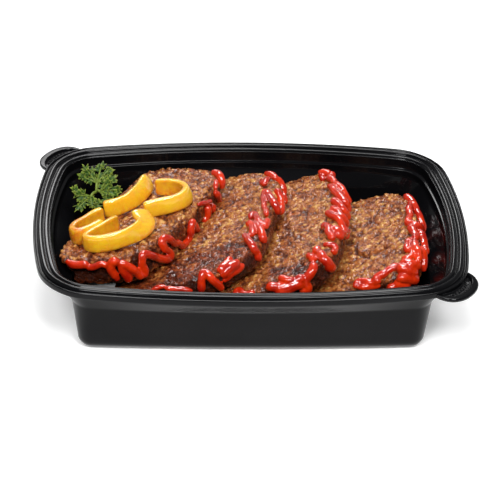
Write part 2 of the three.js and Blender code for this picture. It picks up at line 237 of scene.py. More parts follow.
# ---------- the stage ----------
WHITE = (1.0, 1.0, 1.0)
FLOOR_HALF = 4000
BACKDROP_RADIUS, BACKDROP_HEIGHT = 3000, 450
# Each far light: its direction and its apparent width, in degrees.
SUNS = {"key": (20, 54, 17), "fill": (-26, 52, 17), "top": (190, 72, 12), "sheen": (178, 64, 30)}
PANEL_PLACE, PANEL_SIZE = Vector((-0.25, 1.8, 1.25)), (0.9, 0.22)


# ---------- shared helpers ----------
def mix(a, b, t):
    return a + (b - a) * t


def smooth_step(t):
    t = min(1.0, max(0.0, t))
    return t * t * (3 - 2 * t)


def eased(t, ends=0.15):
    """A straight ramp from 0 to 1 whose two ends are rounded."""
    slope = 1 / (1 - ends)
    if t < ends:
        return slope * t * t / (2 * ends)
    if t > 1 - ends:
        return 1 - slope * (1 - t) ** 2 / (2 * ends)
    return slope * (t - ends / 2)


def placed(name, data):
    """A new object in the scene that holds a mesh, a light or a camera."""
    made = bpy.data.objects.new(name, data)
    bpy.context.scene.collection.objects.link(made)
    return made


def new_object(name, vertices, faces):
    """A smooth mesh object from points in millimetres."""
    mesh = bpy.data.meshes.new(name)
    mesh.from_pydata([tuple(c * MM for c in v) for v in vertices], [], faces)
    mesh.validate()
    mesh.shade_smooth()
    return placed(name, mesh)


def finish_piece(obj, material, slot, *nodes):
    """Gives a piece its finish and its body, and hides the solids that it stands for."""
    obj.data.materials.clear()
    obj.data.materials.append(material)
    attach(obj, "root")
    if nodes:
        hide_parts(*nodes)


def loft_faces(ring_count, count):
    """Quads between successive closed rings of the same number of points."""
    faces = []
    for ring in range(ring_count - 1):
        for i in range(count):
            a, b = ring * count + i, ring * count + (i + 1) % count
            faces.append((a, b, b + count, a + count))
    return faces


def tube_faces(ring_count, count):
    """The same quads with a face across each end."""
    last = (ring_count - 1) * count
    ends = [tuple(range(count))[::-1], tuple(range(last, last + count))]
    return loft_faces(ring_count, count) + ends


def grid_faces(rows, columns):
    """Quads of an open sheet whose points are stored row by row."""
    row = columns + 1
    corners = [j * row + i for j in range(rows) for i in range(columns)]
    return [(k, k + 1, k + row + 1, k + row) for k in corners]


def shifted(faces, start):
    """The same faces for points that are stored from a later place."""
    return [tuple(start + k for k in face) for face in faces]


def baked(obj, name):
    """A new object whose mesh is the given one's with its modifiers applied."""
    graph = bpy.context.evaluated_depsgraph_get()
    mesh = bpy.data.meshes.new_from_object(obj.evaluated_get(graph), depsgraph=graph)
    mesh.name = name
    old = obj.data
    bpy.data.objects.remove(obj)
    bpy.data.meshes.remove(old)
    return placed(name, mesh)


def remeshed(obj, name, voxel, smoothing):
    modifier = obj.modifiers.new("Even", "REMESH")
    modifier.mode = "VOXEL"
    modifier.voxel_size = voxel * 1.0
    relax = obj.modifiers.new("Relax", "SMOOTH")
    relax.factor = 0.5
    relax.iterations = smoothing
    made = baked(obj, name)
    made.data.shade_smooth()
    return made


def mesh_arrays(mesh):
    """Positions and normals of a mesh's vertices as arrays of rows."""
    arrays = []
    for rows, key in ((mesh.vertices, "co"), (mesh.vertex_normals, "vector")):
        values = np.empty(len(rows) * 3, np.float32)
        rows.foreach_get(key, values)
        arrays.append(values.reshape(-1, 3).astype(float))
    return arrays


def set_points(mesh, points):
    mesh.vertices.foreach_set("co", points.astype(np.float32).ravel())
    mesh.update()


def set_attributes(mesh, **marks):
    """Stores numbers for each vertex, which a material reads by name."""
    for name, values in marks.items():
        layer = mesh.attributes.new(name, "FLOAT", "POINT")
        layer.data.foreach_set("value", np.asarray(values, np.float32))


def spline(points, steps):
    """Points along a smooth curve through the given ones."""
    padded = [points[0] * 2 - points[1], *points, points[-1] * 2 - points[-2]]
    out = []
    spans = len(points) - 1
    for i in range(steps + 1):
        at = i / steps * spans
        k = min(int(at), spans - 1)
        t = at - k
        a, b, c, d = padded[k:k + 4]
        out.append(0.5 * ((2 * b) + (c - a) * t + (2 * a - 5 * b + 4 * c - d) * t * t
                          + (3 * b - a - 3 * c + d) * t ** 3))
    return out


def slice_matrix(name):
    """A slice's frame: +X to the crust, +Y along the slice, +Z out of its face, in millimetres."""
    data = SLICES[name]
    turn = Matrix.Rotation(math.radians(-data["yaw"]), 4, "Z")
    tip = Matrix.Rotation(math.radians(-data["lean"]), 4, "Y")
    return Matrix.Translation(data["crown"]) @ turn @ tip


def face_height(name, x, y):
    """Height of a slice's face at a point in plan, in millimetres."""
    data = SLICES[name]
    yaw = math.radians(data["yaw"])
    run = (x - data["crown"][0]) * math.cos(yaw) - (y - data["crown"][1]) * math.sin(yaw)
    return data["crown"][2] + run * math.tan(math.radians(data["lean"]))


# ---------- materials ----------
class Nodes:
    """A short way to write a node tree: _ stands for a space in a socket's name, and sizes are in mm."""

    def __init__(self, tree):
        self.tree = tree

    def put(self, socket, value):
        """Gives a socket its number, vector or colour, or links another node's output to it."""
        if isinstance(value, bpy.types.NodeSocket):
            self.tree.links.new(value, socket)
        elif socket.type == "RGBA" and len(value) == 3:
            socket.default_value = (*value, 1.0)
        else:
            socket.default_value = value

    def fill(self, node, **values):
        """Fills in a node's sockets, and its own settings where no socket has the name."""
        for key, value in values.items():
            socket = key.replace("_", " ")
            if socket in node.inputs:
                self.put(node.inputs[socket], value)
            else:
                setattr(node, key, value)
        return node

    def new(self, kind, **values):
        """Adds a node of the given kind and fills it in."""
        return self.fill(self.tree.nodes.new("ShaderNode" + kind), **values)

    def position(self):
        """Object coordinates, in metres."""
        return self.new("TexCoord").outputs["Object"]

    def attribute(self, name):
        return self.new("Attribute", attribute_name=name).outputs["Fac"]

    def noise(self, where, size, detail=4.0, roughness=0.6, distortion=0.0):
        """Noise whose features are about the given size."""
        return self.new("TexNoise", Vector=where, Scale=1 / MM / size, Detail=detail, Roughness=roughness,
                        Distortion=distortion).outputs["Fac"]

    def crumbs(self, where, size):
        """Distance to each crumb's middle in crumb sizes, and the crumb's own number."""
        cells = self.new("TexVoronoi", feature="F1", Vector=where, Scale=1 / MM / size).outputs
        return cells["Distance"], self.new("SeparateColor", Color=cells["Color"]).outputs["Red"]

    def ramp(self, value, *stops):
        """Colours along a range of numbers."""
        made = self.new("ValToRGB", Fac=value)
        elements = made.color_ramp.elements
        while len(elements) < len(stops):
            elements.new(0.5)
        for element, (place, shade) in zip(elements, stops):
            element.position = place
            element.color = (*shade, 1.0)
        return made.outputs["Color"]

    def span(self, value, low, high, to_low=0.0, to_high=1.0):
        """Maps a range of numbers onto another, clamped."""
        return self.new("MapRange", Value=value, From_Min=low, From_Max=high, To_Min=to_low,
                        To_Max=to_high).outputs["Result"]

    def maths(self, operation, *values, kind="Math"):
        """A sum, product and so on of numbers, or of vectors by the other kind of node."""
        made = self.new(kind, operation=operation)
        for socket, value in zip(made.inputs, values):
            self.put(socket, value)
        return made.outputs[0]

    def total(self, *terms):
        """The sum of some outputs, each times its share."""
        whole = 0.0
        for value, share in terms:
            whole = self.maths("MULTIPLY_ADD", value, share, whole)
        return whole

    def blend(self, share, low, high):
        """Mixes two colours by a share."""
        made = self.new("Mix", data_type="RGBA", Factor=share)
        colours = [socket for socket in made.inputs if socket.type == "RGBA"]
        for socket, value in zip(colours, (low, high)):
            self.put(socket, value)
        return [socket for socket in made.outputs if socket.type == "RGBA"][0]

    def bump(self, height, distance, strength=1.0, **under):
        """Relief of the given height, over another one where that is given as Normal."""
        return self.new("Bump", Height=height, Distance=distance * MM, Strength=strength,
                        **under).outputs["Normal"]


class Shader(Nodes):
    """A material's nodes and its surface."""

    def __init__(self, name):
        self.material = bpy.data.materials.new(name)
        self.material.use_nodes = True
        super().__init__(self.material.node_tree)

    def surface(self, **values):
        """Fills in the surface and returns the finished material."""
        self.fill(self.tree.nodes["Principled BSDF"], **values)
        return self.material


def soft(weight, *reach):
    """Surface values for light that sinks in, by a reach in red, green and blue."""
    reach = [r * MM for r in reach]
    return {"Subsurface_Weight": weight, "Subsurface_Radius": reach, "Subsurface_Scale": 1.0}


def tray_material(settings):
    """Black moulded plastic, satin outside, with the faint waviness of a thin sheet."""
    s = Shader("Black moulded plastic")
    where = s.position()
    broad = s.noise(where, 38.0, 2.0)
    grain = s.noise(where, 0.7, 3.0, 0.5)
    return s.surface(
        Base_Color=s.blend(s.span(broad, 0.35, 0.65), settings.colour, [c * 1.5 for c in settings.colour]),
        Roughness=s.span(broad, 0.3, 0.7, settings.gloss - 0.03, settings.gloss + 0.04),
        Normal=s.bump(grain, 0.006, 0.4, Normal=s.bump(broad, 0.25, 0.3)), IOR=1.49, Specular_IOR_Level=0.15)


def meat_material(settings):
    """Moist baked ground meat: golden, orange and brown crumbs, painted shade in the pits, dark juice that
    is partly painted shade, and a browned rim.
    """
    s = Shader("Baked ground meat")
    where = s.position()
    pits, crust, tone = s.attribute("pits"), s.attribute("crust"), s.attribute("tone")
    juicy, bits = s.attribute("juicy"), s.attribute("bits")
    bend = s.new("TexNoise", Vector=where, Scale=450.0, Detail=2.0).outputs["Color"]
    bent = s.maths("MULTIPLY_ADD", bend, [1.8 * MM] * 3, where, kind="VectorMath")
    grain, grain_own = s.crumbs(bent, 1.15)
    clots = s.noise(bent, 2.6, 6.0, 0.75, 0.2)
    speck = s.noise(where, 0.85, 3.0, 0.65)
    broad = s.span(s.noise(where, 12.0, 3.0), 0.35, 0.65, -0.04, 0.05)
    mottled = s.total((clots, 0.42), (speck, 0.28), (tone, 0.18), (grain_own, 0.12), (broad, 1.0),
                      (bits, 0.17))
    body = s.ramp(mottled, (0.38, settings.dark), (0.45, settings.brown), (0.50, settings.orange),
                  (0.57, settings.tan), (0.67, settings.pale))
    warm = s.span(s.noise(where, 2.6, 3.0, 0.6, 0.8), 0.56, 0.68, 0.0, 0.65)
    # Painted shade: the dark colour is laid into the pits and cracks.
    pit_shaded = s.blend(s.span(pits, 0.15, 0.85, 0.0, 0.85), s.blend(warm, body, settings.rim), settings.dark)
    worn = s.maths("MULTIPLY", crust, s.span(s.noise(where, 3.5, 4.0), 0.36, 0.6, 0.70, 1.0))
    # Browned crust and dark juice; at the first slice's near end the dark juice is also painted shade.
    stain_and_shade = s.maths("MAXIMUM", worn, s.maths("MULTIPLY", juicy, s.span(speck, 0.3, 0.6, 0.6, 1.0)))
    browned = s.ramp(mottled, (0.42, [c * 0.4 for c in settings.dark]), (0.56, settings.crust),
                     (0.74, settings.rim))
    relief = s.total((clots, 1.6), (speck, 0.8), (grain, -0.45))
    return s.surface(
        Base_Color=s.blend(stain_and_shade, pit_shaded, browned), Normal=s.bump(relief, 0.75),
        Roughness=s.span(s.noise(where, 2.4, 3.0), 0.42, 0.58, 0.50, 0.12), IOR=1.40, Specular_IOR_Level=0.2,
        Coat_Weight=0.38, Coat_Roughness=0.07, Coat_Normal=s.bump(s.noise(where, 2.4, 1.5, 0.5), 0.7),
        **soft(0.05, 1.2, 0.5, 0.3))


def sauce_material(settings):
    """Glossy tomato sauce in two reds."""
    s = Shader("Tomato sauce")
    where = s.position()
    return s.surface(
        Base_Color=s.blend(s.span(s.noise(where, 9.0, 3.0), 0.35, 0.65), settings.deep, settings.bright),
        Normal=s.bump(s.noise(where, 2.6, 1.0), 0.10, 0.30), Roughness=0.22, IOR=1.48,
        Specular_IOR_Level=0.2, Coat_Weight=1.0, Coat_Roughness=0.02, **soft(0.08, 2.0, 0.4, 0.2))


def pepper_material(settings):
    """Cooked yellow pepper: wet, a little see-through, orange along the cut edges and towards the bottom of
    the wall, with painted shade on the inner face.
    """
    s = Shader("Yellow pepper")
    where = s.position()
    rind = s.attribute("rind")
    patch = s.noise(where, 6.0, 4.0, 0.6, 0.4)
    flesh = s.blend(s.span(patch, 0.35, 0.68), settings.yellow, settings.deep)
    # Orange on the cooked edges and towards the bottom of the wall, and painted shade on the inner face.
    cooked = s.maths("MULTIPLY", rind, s.span(s.noise(where, 3.0, 4.0), 0.36, 0.60, 0.25, 1.0))
    charred = s.maths("MULTIPLY", rind, s.span(s.noise(where, 2.2, 5.0, 0.7), 0.69, 0.76))
    return s.surface(
        Base_Color=s.blend(charred, s.blend(cooked, flesh, settings.orange), settings.char),
        Roughness=s.span(patch, 0.3, 0.7, 0.18, 0.34), Normal=s.bump(s.noise(where, 1.4, 4.0), 0.12, 0.5),
        IOR=1.42, Coat_Weight=0.8, Coat_Roughness=0.05, **soft(0.40, 3.0, 1.8, 0.3))


def parsley_material(settings):
    """Curly leaf: deep green folds with paler teeth."""
    s = Shader("Parsley leaf")
    where = s.position()
    body = s.blend(s.noise(where, 4.0, 3.0), settings.deep, settings.green)
    return s.surface(
        Base_Color=s.blend(s.span(s.attribute("tip"), 0.55, 1.0), body, settings.pale),
        Normal=s.bump(s.noise(where, 0.9, 3.0), 0.12, 0.6), Roughness=0.38, IOR=1.4, Specular_IOR_Level=0.3,
        **soft(0.15, 0.5, 0.9, 0.2))


# ---------- tray ----------
def blend_outline(low, high, t):
    return {key: mix(low[key], high[key], t) for key in low}


def inset_outline(shape, distance):
    moved = {key: shape[key] - distance for key in ("half_x", "half_y", "radius")}
    return {**shape, **moved}


def outline_points(shape):
    """A bowed rounded rectangle, anticlockwise, as x and y arrays."""
    box_x, box_y = shape["half_x"] - shape["bow_x"], shape["half_y"] - shape["bow_y"]
    r = max(shape["radius"], 0.4)
    flat = []
    for corner in range(4):
        cx = (box_x - r) * (1 if corner in (0, 3) else -1)
        cy = (box_y - r) * (1 if corner < 2 else -1)
        for i in range(CORNER_STEPS + 1):
            angle = (corner + i / CORNER_STEPS) * math.pi / 2
            flat.append((cx + r * math.cos(angle), cy + r * math.sin(angle)))
        x, y = flat[-1]
        next_x, next_y, steps = (-x, y, LONG_STEPS) if corner % 2 == 0 else (x, -y, SHORT_STEPS)
        for i in range(1, steps):
            flat.append((mix(x, next_x, i / steps), mix(y, next_y, i / steps)))
    x, y = np.array(flat).T
    for _ in range(4):
        x, y = (v * 0.5 + (np.roll(v, 1) + np.roll(v, -1)) * 0.25 for v in (x, y))
    return (x + shape["bow_x"] * (x / box_x) * (1 - (y / box_y) ** 2),
            y + shape["bow_y"] * (y / box_y) * (1 - (x / box_x) ** 2))


def body_outline(z):
    return blend_outline(BASE, BODY_TOP, (z - FILLET) / (SHOULDER_BOTTOM - FILLET))


def wall_outline(z, wall):
    """The wall's outer outline below the ledge, through the shoulder's sweep."""
    if z <= SHOULDER_BOTTOM:
        return body_outline(z)
    ledge = inset_outline(RIM, LEDGE_INSET - wall)
    return blend_outline(BODY_TOP, ledge, eased((z - SHOULDER_BOTTOM) / (SHOULDER_TOP - SHOULDER_BOTTOM)))


def wall_sections(inside, wall):
    """Outlines and heights from the base's edge up to the shoulder's top."""
    sections = []
    fillet_steps, shoulder_steps = 8, 14
    radius = FILLET - inside
    for i in range(fillet_steps + 1):
        angle = i / fillet_steps * math.pi / 2
        shape = inset_outline(body_outline(FILLET), inside + radius * (1 - math.sin(angle)))
        sections.append((shape, FILLET - radius * math.cos(angle)))
    for share in (0.35, 0.7, 1.0):
        z = mix(FILLET, SHOULDER_BOTTOM, share)
        sections.append((inset_outline(body_outline(z), inside), z))
    for i in range(1, shoulder_steps + 1):
        z = mix(SHOULDER_BOTTOM, SHOULDER_TOP, i / shoulder_steps)
        sections.append((inset_outline(wall_outline(z, wall), inside), z))
    return sections


def softened(points):
    """Rounds the corners of an open line by cutting them twice, keeping its ends."""
    for _ in range(2):
        cut = [(mix(a[0], b[0], share), mix(a[1], b[1], share))
               for a, b in zip(points, points[1:]) for share in (0.22, 0.78)]
        points = [points[0], *cut, points[-1]]
    return points


def rim_sections(wall):
    """The rim's section, from the ledge outside, under the lip, over the top, to the ledge inside."""
    upper = [
        (0, SKIRT_BOTTOM), (0, 47.2), (0.25, 47.8), (0.75, 47.9), (1.15, 47.6), (1.5, 46.9), (2.0, 46.8),
        (2.35, 47.5), (2.8, 48.3), (3.6, BEAD_TOP), (4.5, BEAD_TOP - 0.05), (5.0, 48.2), (5.3, 47.4),
        (5.75, 47.1), (6.1, 47.4), (6.5, 47.9), (7.6, 47.95), (8.1, 47.7), (8.4, 46.9), (8.75, 46.5),
        (9.1, 46.9), (9.35, 46.7), (9.25, 45.8), (9.3, LEDGE + 0.4), (10.1, LEDGE - 0.05),
        (LEDGE_INSET, LEDGE - 0.3), (LEDGE_INSET, LEDGE - 1.2),
    ]
    under = [
        (LEDGE_INSET - wall, LEDGE - 1.2), (LEDGE_INSET - wall, LEDGE - wall), (8.4, LEDGE - 0.4),
        (8.1, 45.4), (7.4, 46.2), (5.6, 46.2), (4.5, 47.3), (3.2, 47.2), (2.4, 46.0), (wall, 46.0),
        (wall, SKIRT_BOTTOM),
    ]
    return [(inset_outline(RIM, distance), z) for distance, z in softened(under + upper)]


def tray_shell(settings):
    """The tray's section carried round as one closed skin."""
    wall = settings.wall / MM
    sections = wall_sections(0.0, wall) + rim_sections(wall) + wall_sections(wall, wall)[::-1]
    rings = []
    for shape, z in sections:
        x, y = outline_points(shape)
        rings.append(np.stack([x, y, np.full_like(x, z)], 1))
    return new_object("tray", np.concatenate(rings), tube_faces(len(rings), len(rings[0])))


def tab_height(share, depth):
    """Height of a corner tab's top: share runs along it, depth from the rim out to its edge."""
    fade = smooth_step((1 - abs(share)) / 0.28)
    lip = -0.7 * smooth_step((depth - 0.93) / 0.07)
    well_in = smooth_step((depth - 0.05) / 0.07)
    well_out = 1 - smooth_step((depth - 0.60) / 0.08)
    well = -1.9 * well_in * well_out * fade
    bead = 1.3 * math.exp(-((depth - 0.24) / 0.045) ** 2) * smooth_step((0.78 - abs(share)) / 0.14)
    rib_wave = smooth_step(0.5 + 0.9 * math.sin(share * 2 * math.pi * TAB_RIBS))
    ribs = 1.1 * rib_wave * smooth_step((0.5 - abs(share)) / 0.1)
    ribs *= smooth_step((depth - 0.31) / 0.05) * (1 - smooth_step((depth - 0.52) / 0.05))
    return TAB_TOP + lip + well + (bead + ribs) * fade


def corner_tab(name, side):
    """One tab as a plate with a raised edge, a crescent well, a bead and a row of ribs."""
    across, along, thick = 34, 132, 1.1
    centre = (-(RIM["half_x"] - RIM["bow_x"] - RIM["radius"]), RIM["half_y"] - RIM["bow_y"] - RIM["radius"])
    top, low = [], []
    for i in range(along + 1):
        share = 2 * i / along - 1
        angle = math.radians(TAB_MIDDLE - share * TAB_HALF_ANGLE)
        reach = TAB_REACH * (1 - abs(share) ** 3)
        for j in range(across + 1):
            radius = RIM["radius"] - 0.4 + reach * j / across
            x, y = centre[0] + radius * math.cos(angle), centre[1] + radius * math.sin(angle)
            z = tab_height(share, j / across)
            top.append((x * side, y * side, z))
            low.append((x * side, y * side, min(z, TAB_TOP) - thick))
    faces = [(a, d, c, b) for a, b, c, d in grid_faces(along, across)]
    faces += shifted(grid_faces(along, across), len(top))
    row = across + 1
    edge = list(range(row))
    edge += [i * row + across for i in range(1, along + 1)]
    edge += [along * row + j for j in range(across - 1, -1, -1)]
    edge += [i * row for i in range(along - 1, 0, -1)]
    faces += [(a, b, len(top) + b, len(top) + a) for a, b in zip(edge, edge[1:] + edge[:1])]
    return new_object(name, top + low, faces)


# ---------- slices ----------
def noise_at(points, size, seed):
    """Smooth noise at points in millimetres, whose features are about the given size."""
    shift = Vector((seed * 13.7, seed * 7.3, seed * 3.1))
    return np.array([noise.noise(Vector(p) / size + shift) for p in points])


def cells_at(points, size, seed):
    """How far each point is from the gap round its crumb, and the crumb's own number."""
    shift = Vector((seed * 5.3, seed * 9.1, seed * 2.7))
    gap, own = np.empty(len(points)), np.empty(len(points))
    for i, p in enumerate(points):
        distances, middles = noise.voronoi(Vector(p) / size + shift)
        gap[i] = distances[1] - distances[0]
        m = middles[0]
        own[i] = abs(math.sin(m.x * 12.9898 + m.y * 78.233 + m.z * 37.719)) * 43758.5453 % 1.0
    return gap, own


def meat_relief(points, seed, settings):
    """Height of the crumbly surface at points in millimetres, with each crumb's tone and the painted shade
    in the pits.
    """
    bent = points + np.stack([noise_at(points, 5.0, seed + k) for k in (11, 12, 13)], 1) * 1.7
    lumps = noise_at(points, LUMP_SIZE, seed + 1)
    folds = noise_at(bent, FOLD_SIZE, seed + 20)
    clots = noise_at(bent, CLOT_SIZE, seed + 21)
    gap, own = cells_at(bent, CLUMP_SIZE, seed + 2)
    small_gap, small_own = cells_at(bent, CRUMB_SIZE, seed + 3)
    fine = noise_at(points, FINE_SIZE, seed + 4)
    crack_line = np.abs(noise_at(bent, CRACK_SIZE, seed + 5))
    gate = np.clip(noise_at(points, 15.0, seed + 6) * 2.5 + 0.25, 0, 1)
    cracks = np.clip(1 - crack_line / 0.10, 0, 1) * gate
    clump = np.sqrt(np.clip(gap, 0, 0.5) / 0.5) + 0.9 * own
    crumb = np.sqrt(np.clip(small_gap, 0, 0.5) / 0.5) + 1.3 * small_own
    height = (settings.lump / MM * (1.1 * lumps + 0.8 * folds + 0.35 * (clump - 1.1))
              + settings.crumb / MM * (0.45 * (crumb - 1.3) + 0.9 * clots + 0.6 * fine)
              - settings.crack / MM * cracks)
    # Painted shade in the gaps between crumbs, the hollows of the folds and clots, and the cracks.
    pits = (np.clip(1.0 - crumb, 0, 1) * 0.35 + np.clip(-folds * 1.6 - 0.15, 0, 1) * 0.5
            + np.clip(-clots * 1.5 - 0.1, 0, 1) * 0.6 + cracks * 0.9)
    tone = 0.30 * small_own + 0.20 * own + 0.25 + 0.5 * clots + 0.4 * folds + 0.2 * fine
    return height, np.clip(pits, 0, 1), np.clip(tone, 0, 1)


def crumb_places(name, seed, count):
    """Places in a slice's plane for loose crumbs, thickest along its edge, with their radii."""
    places = []
    track, _ = crust_track(name)
    random = np.random.default_rng(seed)
    low, high = track.min(0), track.max(0)
    for i in range(count):
        if i % 3:
            x, y = random.uniform(low, high)
        else:
            x, y = track[random.integers(len(track))] + random.normal(0, 0.9, 2)
        places.append((x, y, random.uniform(0.45, 1.0) if i % 6 else random.uniform(1.1, 1.8)))
    return places


def add_crumbs(obj, name, seed, count):
    """Joins small flattened lumps of meat onto a slice's upper face, and says where they are."""
    tree = BVHTree.FromObject(obj, bpy.context.evaluated_depsgraph_get())
    matrix = slice_matrix(name)
    down = -(matrix.to_3x3() @ Vector((0, 0, 1)))
    shape = bmesh.new()
    shape.from_mesh(obj.data)
    random = np.random.default_rng(seed + 1)
    centres = []
    for x, y, radius in crumb_places(name, seed, count):
        start = (matrix @ Vector((x, y, 30))) * MM
        hit, normal, _, _ = tree.ray_cast(start, down)
        if hit is None:
            continue
        spin = normal.to_track_quat("Z", "Y").to_matrix() @ Matrix.Rotation(random.uniform(0, 6.28), 3, "Z")
        stretch = Matrix.Diagonal((radius * random.uniform(1.0, 1.7), radius, radius * 0.75)) * MM
        turn = Matrix.Translation(hit) @ (spin @ stretch).to_4x4()
        bmesh.ops.create_icosphere(shape, subdivisions=1, radius=1.0, matrix=turn)
        centres.append((hit, radius))
    shape.to_mesh(obj.data)
    shape.free()
    return centres


def nearness(points, centres):
    """How near each point, in metres, is to a crumb's middle: 1 on the crumb, 0 beyond it."""
    tree = KDTree(len(centres))
    for i, (centre, _) in enumerate(centres):
        tree.insert(centre, i)
    tree.balance()
    out = np.empty(len(points))
    for i, point in enumerate(points):
        _, which, distance = tree.find(point)
        out[i] = max(0.0, min(1.0, 1.6 - distance / MM / centres[which][1] / 1.2))
    return out


def flap_relief(local):
    """A round flap that curls up from the last slice's face, and a painted shadow in a ring just outside its
    edge.
    """
    away = local[:, :2] - np.array(FLAP["centre"])
    distance = np.hypot(away[:, 0], away[:, 1])
    angle = np.degrees(np.arctan2(away[:, 1], away[:, 0]))
    turn = np.abs((angle - FLAP["faces"] + 180) % 360 - 180)
    lifted = np.clip((FLAP["half_angle"] - turn) / 30, 0, 1)
    inside = np.clip((FLAP["radius"] - distance) / 0.9, 0, 1)
    bowl = np.clip(distance / FLAP["radius"], 0, 1) ** 2
    outside = np.clip(1 - np.abs(distance - FLAP["radius"] - 0.7) / 0.9, 0, 1)
    return lifted * (FLAP["lift"] * inside * bowl - 0.9 * outside), lifted * outside


def loaf_slice(name, seed, settings):
    """One slice: the solid remade as an even mesh, then roughened as crumbly meat."""
    copy = placed(name + "_body", frame["nodes"][name].data.copy())
    centres = add_crumbs(copy, name, seed, settings.loose)
    made = remeshed(copy, name + "_meat", settings.voxel, 2)
    points, normals = mesh_arrays(made.data)
    points_mm = points / MM
    to_slice = np.array(slice_matrix(name).inverted())
    local = points_mm @ to_slice[:3, :3].T + to_slice[:3, 3]
    upward = normals @ np.array(slice_matrix(name))[:3, 2]
    side = np.clip(1 - np.abs(upward) * 1.3, 0, 1)
    height, pits, tone = meat_relief(points_mm, seed, settings)
    inset = edge_distance(local[:, :2], crust_track(name)[0])
    ragged = 2.5 * noise_at(points_mm, 6.0, seed + 9)
    rim = np.clip(1 - (inset + ragged) / CRUST_WIDTH, 0, 1)
    crust = np.clip(np.maximum(side, rim ** 1.5 * 0.8), 0, 1)
    height *= 1 - 0.3 * side
    # Painted shade on the sides towards the near end.
    tone -= 0.9 * side * np.clip((SHADED_SIDE_FROM - local[:, 1]) / 12, 0, 1)
    if name == "slice_4":
        flap, shade = flap_relief(local)
        height += flap
        # Painted shadow: the ring just outside the flap is darkened along with the pits.
        pits = np.clip(pits + shade, 0, 1)
    patch = noise_at(points_mm, 11.0, seed + 15)
    # Dark juice towards the near end, which on the first slice is also painted shade.
    near_end = np.clip((JUICE_AND_SHADE[name] - local[:, 1] + 0.5 * local[:, 0] + 20 * patch) / 10, 0, 1)
    juicy = near_end * np.clip(1.15 - 0.012 * inset, 0.5, 1) + 0.35 * np.clip(patch * 3 - 0.6, 0, 1)
    set_points(made.data, points + normals * (height * MM)[:, None])
    set_attributes(made.data, pits=pits, tone=tone, crust=crust, juicy=np.clip(juicy, 0, 1),
                   bits=nearness(points, centres))
    return made


def edge_distance(places, outline):
    """How far each place in a slice's plane is from its outline, in millimetres."""
    coarse, chunk = outline[::12], 4000
    nearest = []
    for start in range(0, len(places), chunk):
        away = places[start:start + chunk, None, :] - coarse[None]
        nearest.append(np.sqrt((away ** 2).sum(2)).min(1))
    return np.concatenate(nearest)


# ---------- sauce ----------
def crust_track(name):
    """A slice's outline in its own plane, with the distance of each point from the crust's middle."""
    data = SLICES[name]
    points = []
    for i in range(-TRACK_STEPS, TRACK_STEPS + 1):
        angle = math.radians(170) * i / TRACK_STEPS
        dome = DOME_FAR_POWER if i > 0 else DOME_POWER
        power = 2 / (dome if math.cos(angle) > 0 else FOOT_POWER)
        x = data["depth"] / 2 * math.copysign(abs(math.cos(angle)) ** power, math.cos(angle))
        y = data["half"] * math.copysign(abs(math.sin(angle)) ** power, angle)
        points.append((x - data["depth"] / 2, y + data["shear"] * x))
    points = np.array(points)
    run = np.concatenate([[0], np.cumsum(np.linalg.norm(np.diff(points, axis=0), axis=1))])
    return points, run - run[TRACK_STEPS]


def off_edge(name, track, along, across):
    """A point beside the crust's edge, on the face where across is positive, down the side if not."""
    points, run = track

    def at(distance):
        return Vector((np.interp(distance, run, points[:, 0]), np.interp(distance, run, points[:, 1]), 0))

    ahead = (at(along + 0.5) - at(along - 0.5)).normalized()
    inward = Vector((-ahead.y, ahead.x, 0))
    place = at(along) + (inward * across if across > 0 else Vector((0, 0, across)))
    return slice_matrix(name) @ place


def sauce_route(name, stops, radius, seed):
    """Points and radii of one bead in the shared frame, in millimetres."""
    track = crust_track(name)
    run = sum((Vector(a) - Vector(b)).length for a, b in zip(stops, stops[1:]))
    steps = max(6, int(run / SAUCE_STEP))
    route = []
    for i, stop in enumerate(spline([Vector((*stop, 0)) for stop in stops], steps)):
        uneven = noise.noise(Vector((i * SAUCE_STEP / 5.0, seed * 3.7, 1.0)))
        route.append((off_edge(name, track, stop.x, stop.y), (radius + 0.3) * (1 + 0.16 * uneven)))
    return route


def tube_rings(centres, radii, sides=10):
    """Vertices and faces of a round closed tube through points in millimetres."""
    vertices = []
    across = Vector((0, 0, 1))
    count = len(centres)
    for i, (centre, radius) in enumerate(zip(centres, radii)):
        ahead = (centres[min(i + 1, count - 1)] - centres[max(i - 1, 0)]).normalized()
        across = (across - ahead * across.dot(ahead)).normalized()
        other = ahead.cross(across)
        for k in range(sides):
            angle = 2 * math.pi * k / sides
            vertices.append(centre + (across * math.cos(angle) + other * math.sin(angle)) * radius)
    return vertices, tube_faces(count, sides)


def laid_on(route, tree, rise):
    """Moves a route's points onto the nearest meat, a share of the bead's radius above it."""
    laid = []
    for point, radius in route:
        hit, normal, _, _ = tree.find_nearest(point * MM)
        laid.append(hit / MM + normal * radius * rise)
    for _ in range(4):
        evened = [b * 0.5 + (a + c) * 0.25 for a, b, c in zip(laid, laid[1:], laid[2:])]
        laid = [laid[0], *evened, laid[-1]]
    return laid


def meat_tree():
    """All four slices as one surface to lay the sauce on."""
    points, faces = [], []
    for name in SLICES:
        mesh = bpy.data.objects[name + "_meat"].data
        faces += shifted([polygon.vertices for polygon in mesh.polygons], len(points))
        points += [vertex.co[:] for vertex in mesh.vertices]
    return BVHTree.FromPolygons(points, faces)


def sauce_bead(name, routes, tree, settings):
    """Beads of sauce joined into one flowing mesh."""
    vertices, faces = [], []
    for route in routes:
        centres = laid_on(route, tree, SAUCE_RISE if route[0][1] < THICK_BEAD else THICK_RISE)
        count = len(centres)
        radii = [r * min(1.0, 0.55 + 0.45 * min(i, count - 1 - i) / 3) for i, (_, r) in enumerate(route)]
        more, quads = tube_rings(centres, radii)
        faces += shifted(quads, len(vertices))
        vertices += more
    return remeshed(new_object(name + "_rough", vertices, faces), name, settings.voxel, 4)


